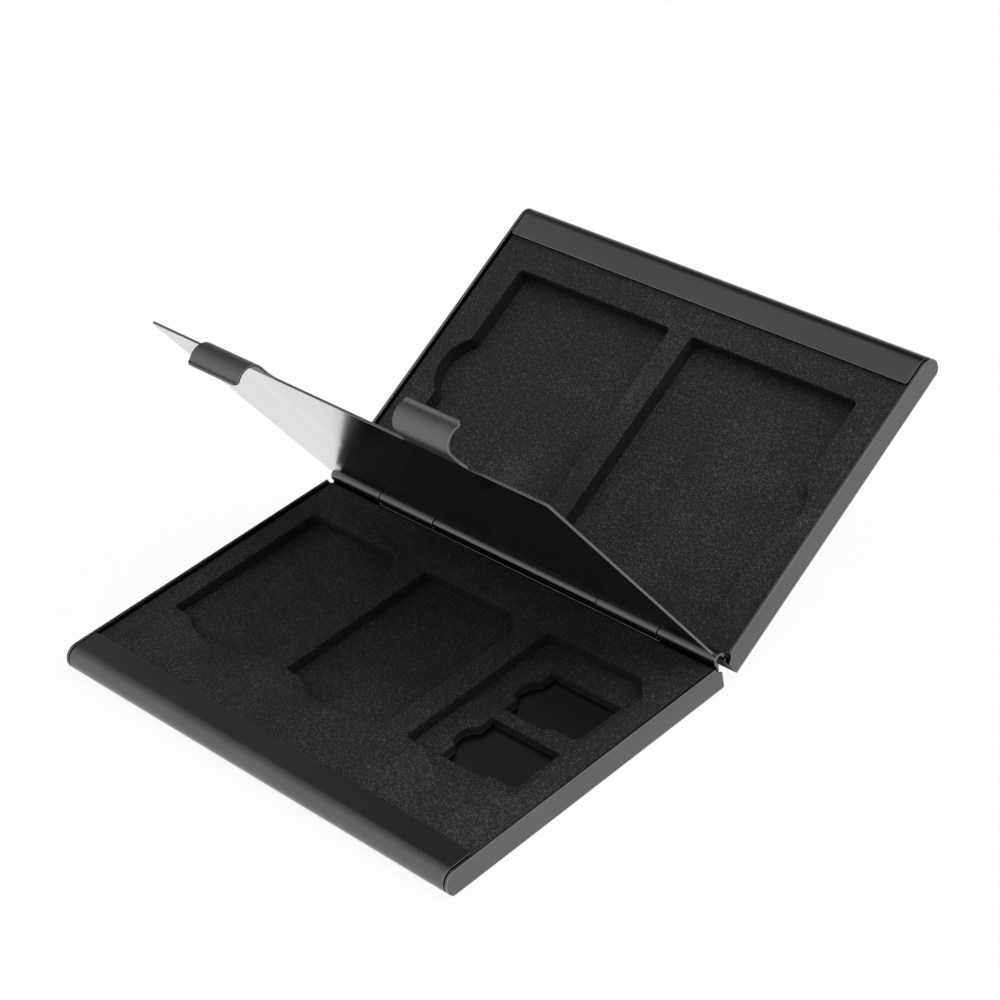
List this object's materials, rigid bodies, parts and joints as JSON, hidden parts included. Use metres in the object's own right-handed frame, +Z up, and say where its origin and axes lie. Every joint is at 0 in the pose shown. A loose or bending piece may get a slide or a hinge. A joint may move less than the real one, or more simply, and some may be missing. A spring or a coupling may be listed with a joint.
{
  "type": "memory card case",
  "caption": "Slim book-style memory card case with shallow sheet-metal trays, die-cut foam card pockets and a hinged divider leaf with spring clips.",
  "frame": {"origin": "middle of the lower tray's underside, midway between its lip and its hinge axis", "axes": "+X along the hinge, +Y from the lower tray's lip towards its hinge, +Z up"},
  "size_m": [0.093, 0.1172, 0.0603],
  "materials": {
    "tray_metal": "satin",
    "leaf_metal": "satin",
    "pin_steel": "satin",
    "foam": "matte",
    "adhesive": "matte"
  },
  "bodies": {
    "base": {"lower_tray": "tray_metal", "lower_film": "adhesive", "lower_foam_base": "foam", "lower_foam_top": "foam", "hinge_pin": "pin_steel"},
    "leaf": {"divider_leaf": "leaf_metal"},
    "cover": {"upper_tray": "tray_metal", "upper_film": "adhesive", "upper_foam_base": "foam", "upper_foam_top": "foam"}
  },
  "joints": [
    {"name": "leaf_hinge", "type": "hinge", "parent": "base", "child": "leaf", "pos_m": [0, 0.03065, 0.00515], "axis": [1, 0, 0], "range_deg": [-22, 58]},
    {"name": "cover_hinge", "type": "hinge", "parent": "leaf", "child": "cover", "pos_m": [0, 0.03065, 0.00515], "axis": [1, 0, 0], "range_deg": [-5.5, 94.5]}
  ]
}
